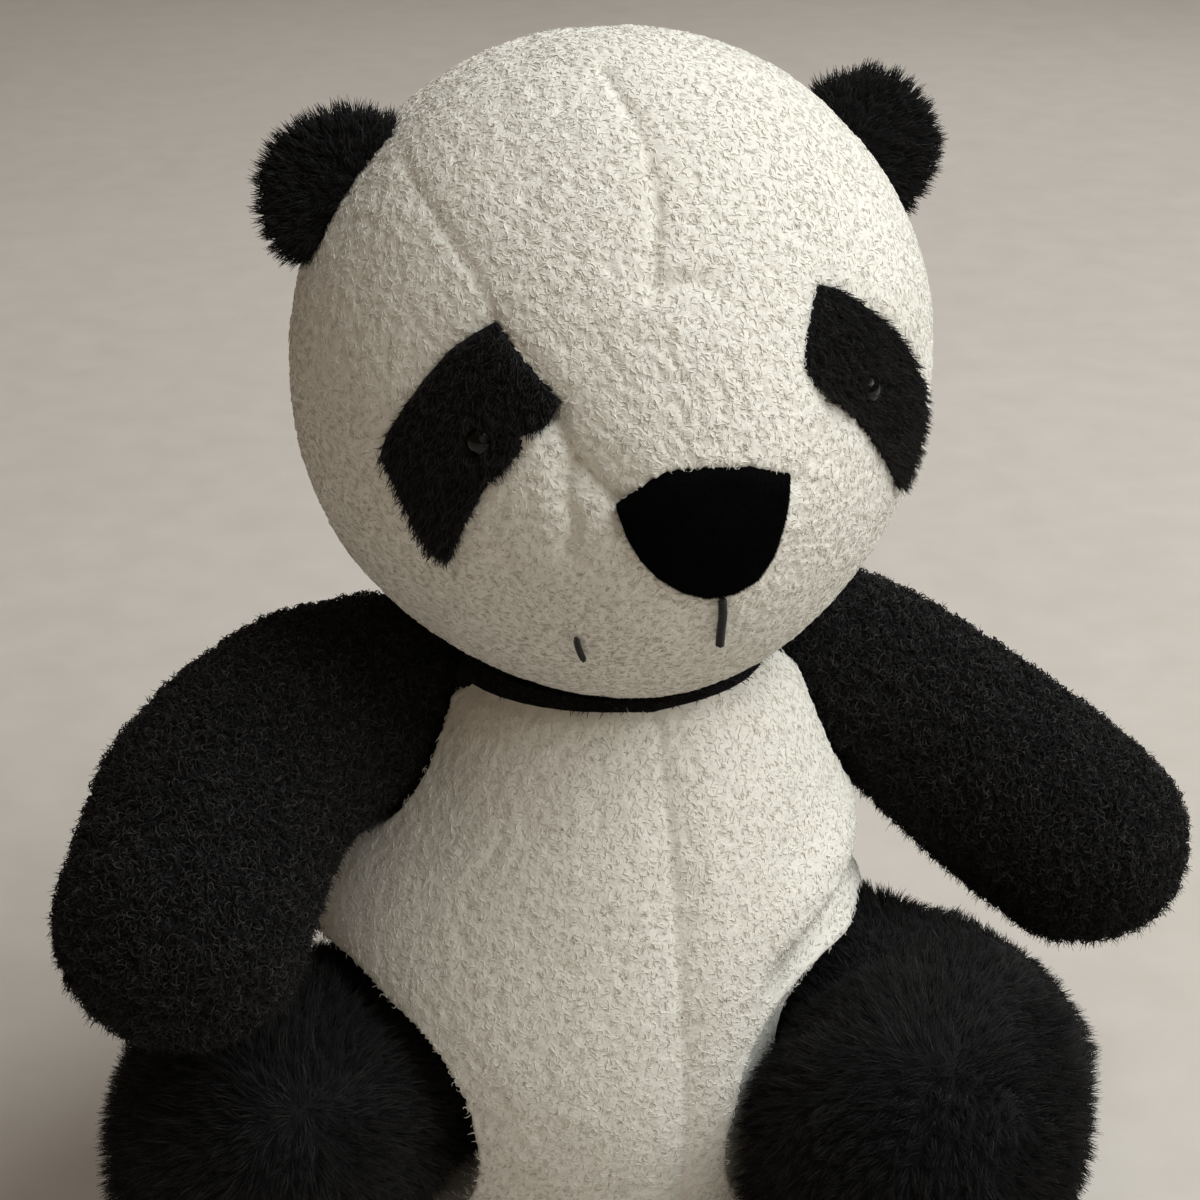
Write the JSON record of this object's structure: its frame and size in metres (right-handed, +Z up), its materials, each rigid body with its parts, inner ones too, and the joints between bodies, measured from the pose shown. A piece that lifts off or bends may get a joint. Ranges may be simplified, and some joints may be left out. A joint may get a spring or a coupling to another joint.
{
  "type": "plush panda",
  "caption": "Soft stuffed panda toy sitting upright on a flat seat, with turning head, folding ears, and arms and legs that swing at sewn seams.",
  "frame": {"origin": "middle of the flat seat under the torso, on the surface that the toy sits on", "axes": "+Z up, the face looks along -Y, the panda's own left arm is on +X"},
  "size_m": [0.2511, 0.1517, 0.256],
  "materials": {
    "fleece": "short curly cream fleece",
    "plush": "charcoal plush pile",
    "velvet": "matte black velvet",
    "bead": "polished black",
    "thread": "twisted thread",
    "filling": "loose fibre",
    "washer": "plain",
    "calico": "plain weave"
  },
  "bodies": {
    "torso": {"seat_panel": "fleece", "yoke_front": "plush", "yoke_back": "plush", "belly_left": "fleece", "belly_right": "fleece", "back_left": "fleece", "back_right": "fleece", "torso_filling": "filling", "pellet_bag": "calico"},
    "neck_filling": {"neck_filling": "filling"},
    "neck_seam": {"neck_seam": "thread"},
    "head": {"head_gusset": "fleece", "cheek_left": "fleece", "cheek_right": "fleece", "head_back_left": "fleece", "head_back_right": "fleece", "head_filling": "filling", "eye_patch_left": "plush", "eye_patch_right": "plush", "eye_left": "bead", "eye_right": "bead", "eye_washer_left": "washer", "eye_washer_right": "washer", "nose": "velvet", "mouth_stitch": "thread", "mouth_corner_stitch": "thread"},
    "ear_left": {"ear_left_front": "plush", "ear_left_back": "plush"},
    "ear_right": {"ear_right_front": "plush", "ear_right_back": "plush"},
    "shoulder_seam_right": {"shoulder_seam_right": "thread"},
    "arm_right": {"arm_right_front": "plush", "arm_right_back": "plush", "arm_right_filling": "filling"},
    "shoulder_seam_left": {"shoulder_seam_left": "thread"},
    "arm_left": {"arm_left_front": "plush", "arm_left_back": "plush", "arm_left_filling": "filling"},
    "hip_seam_right": {"hip_seam_right": "thread"},
    "leg_right": {"leg_right_upper": "plush", "leg_right_lower": "plush", "leg_right_filling": "filling"},
    "hip_seam_left": {"hip_seam_left": "thread"},
    "leg_left": {"leg_left_upper": "plush", "leg_left_lower": "plush", "leg_left_filling": "filling"}
  },
  "joints": [
    {"name": "head_turn", "type": "hinge", "parent": "torso", "child": "neck_filling", "pos_m": [0, 0.002, 0.134], "axis": [0, 0, 1], "range_deg": [-30, 30]},
    {"name": "head_nod", "type": "hinge", "parent": "neck_filling", "child": "neck_seam", "pos_m": [0, 0.002, 0.134], "axis": [1, 0, 0], "range_deg": [-6, 6]},
    {"name": "head_tilt", "type": "hinge", "parent": "neck_seam", "child": "head", "pos_m": [0, 0.002, 0.134], "axis": [0, 1, 0], "range_deg": [-4, 4]},
    {"name": "ear_left_fold", "type": "hinge", "parent": "head", "child": "ear_left", "pos_m": [0.05384, -0.003, 0.2294], "axis": [-0.5807, 0, 0.8141], "range_deg": [-15, 15], "stiffness_Nm_per_rad": 0.02},
    {"name": "ear_right_fold", "type": "hinge", "parent": "head", "child": "ear_right", "pos_m": [-0.05384, -0.003, 0.2294], "axis": [0.5807, 0, 0.8141], "range_deg": [-15, 15], "stiffness_Nm_per_rad": 0.02},
    {"name": "arm_right_swing", "type": "hinge", "parent": "torso", "child": "shoulder_seam_right", "pos_m": [-0.05, 0.006, 0.116], "axis": [-1, 0, 0], "range_deg": [0, 12]},
    {"name": "arm_right_lift", "type": "hinge", "parent": "shoulder_seam_right", "child": "arm_right", "pos_m": [-0.05, 0.006, 0.116], "axis": [0, 1, 0], "range_deg": [0, 12]},
    {"name": "arm_left_swing", "type": "hinge", "parent": "torso", "child": "shoulder_seam_left", "pos_m": [0.05, 0.006, 0.116], "axis": [-1, 0, 0], "range_deg": [-6, 20]},
    {"name": "arm_left_lift", "type": "hinge", "parent": "shoulder_seam_left", "child": "arm_left", "pos_m": [0.05, 0.006, 0.116], "axis": [0, -1, 0], "range_deg": [-6, 30]},
    {"name": "leg_right_spread", "type": "hinge", "parent": "torso", "child": "hip_seam_right", "pos_m": [-0.044, 0, 0.033], "axis": [0, 0, -1], "range_deg": [-12, 5]},
    {"name": "leg_right_lift", "type": "hinge", "parent": "hip_seam_right", "child": "leg_right", "pos_m": [-0.044, 0, 0.033], "axis": [-0.5775, 0.8164, 0], "range_deg": [0, 6]},
    {"name": "leg_left_spread", "type": "hinge", "parent": "torso", "child": "hip_seam_left", "pos_m": [0.044, 0, 0.033], "axis": [0, 0, 1], "range_deg": [-2, 10]},
    {"name": "leg_left_lift", "type": "hinge", "parent": "hip_seam_left", "child": "leg_left", "pos_m": [0.044, 0, 0.033], "axis": [-0.9155, -0.4024, 0], "range_deg": [0, 8]}
  ]
}
